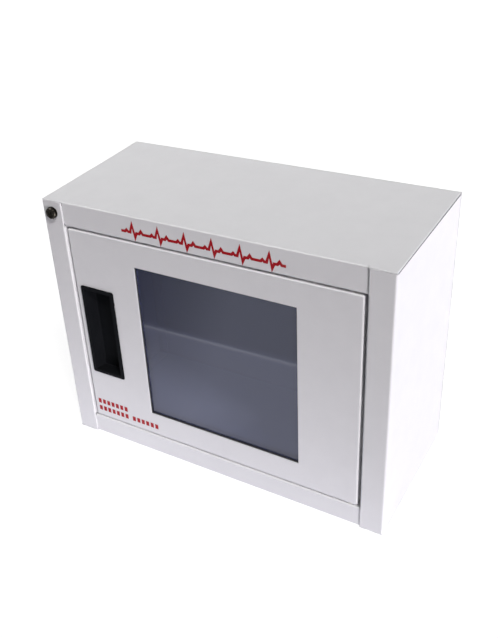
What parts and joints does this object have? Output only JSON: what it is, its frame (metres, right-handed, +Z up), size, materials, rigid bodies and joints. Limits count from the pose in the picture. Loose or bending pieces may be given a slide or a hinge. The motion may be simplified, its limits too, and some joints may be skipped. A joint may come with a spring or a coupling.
{
  "type": "defibrillator cabinet",
  "caption": "White steel wall cabinet for a defibrillator: hinged pan door with a clear window, recessed pull, magnetic catch, key switch and battery door alarm.",
  "frame": {"origin": "middle of the bounding box's underside: halfway between the sides, and halfway from the key switch's nose to the wall face", "axes": "+X to the viewer's right, +Y towards the wall that it hangs on, +Z up; the door faces -Y"},
  "size_m": [0.387, 0.182, 0.305],
  "materials": {
    "powder_coat": "white powder coat, fine orange peel, satin gloss, over folded steel sheet",
    "black_plastic": "moulded black plastic, fine texture",
    "acrylic": "clear acrylic sheet with a faint smoke tint",
    "foam": "closed-cell foam glazing tape",
    "zinc": "bright zinc plate",
    "black_nickel": "polished black nickel plate",
    "brass": "plain brass",
    "nylon": "natural nylon",
    "ferrite": "sintered ferrite",
    "circuit_board": "green solder mask",
    "battery_jacket": "plain dark blue steel jacket, no marks",
    "red_wire": "red PVC insulation",
    "black_wire": "black PVC insulation",
    "red_print": "red screen-print ink"
  },
  "bodies": {
    "cabinet": {"alarm_case": "black_plastic", "alarm_circuit_board": "circuit_board", "alarm_lid": "black_plastic", "alarm_lid_screw_1": "zinc", "alarm_lid_screw_2": "zinc", "alarm_nut_front": "zinc", "alarm_nut_rear": "zinc", "battery_9v": "battery_jacket", "battery_lead_black": "black_wire", "battery_lead_red": "red_wire", "battery_snap": "black_plastic", "cabinet_wrapper": "powder_coat", "catch_housing": "nylon", "catch_magnet": "ferrite", "catch_pole_plate_1": "zinc", "catch_pole_plate_2": "zinc", "catch_screw_lower": "zinc", "catch_screw_upper": "zinc", "door_lead_black": "black_wire", "door_lead_red": "red_wire", "door_switch_body": "black_plastic", "door_switch_nut": "black_plastic", "hinge_pin_lower": "zinc", "hinge_screw_upper": "zinc", "hinge_thrust_washer": "nylon", "key_lead_black": "black_wire", "key_lead_red": "red_wire", "key_switch_barrel": "black_nickel", "key_switch_contacts": "black_plastic", "key_switch_nut": "zinc", "key_switch_tab_left": "brass", "key_switch_tab_right": "brass", "key_switch_washer": "zinc", "side_panel_left": "powder_coat", "side_panel_right": "powder_coat", "siren": "black_plastic", "switch_bracket": "zinc"},
    "door": {"door_skin": "powder_coat", "window_gasket": "foam", "window_pane": "acrylic", "pane_retainer": "zinc", "handle_cup": "black_plastic", "strike_plate": "zinc", "strike_rivet_lower": "zinc", "strike_rivet_upper": "zinc", "hinge_bush_lower": "nylon", "hinge_bush_upper": "nylon", "retainer_nut_1": "zinc", "retainer_nut_2": "zinc", "retainer_nut_3": "zinc", "retainer_nut_4": "zinc", "retainer_nut_5": "zinc", "retainer_nut_6": "zinc"},
    "key_plug": {"key_switch_plug": "black_nickel"},
    "switch_plunger": {"door_switch_plunger": "nylon"}
  },
  "joints": [
    {"name": "door_hinge", "type": "hinge", "parent": "cabinet", "child": "door", "pos_m": [0.1563, -0.0775, 0.15065], "axis": [0, 0, 1], "range_deg": [0, 110]},
    {"name": "key_switch_turn", "type": "hinge", "parent": "cabinet", "child": "key_plug", "pos_m": [-0.1806, -0.086, 0.2914], "axis": [0, 1, 0], "range_deg": [0, 90]},
    {"name": "door_switch_travel", "type": "slide", "parent": "cabinet", "child": "switch_plunger", "axis": [0, -1, 0], "range_m": [0, 0.0041]}
  ],
  "couplings": [
    {"joint": "door_switch_travel", "follows": "door_hinge", "m_per_rad": 0.0021}
  ]
}
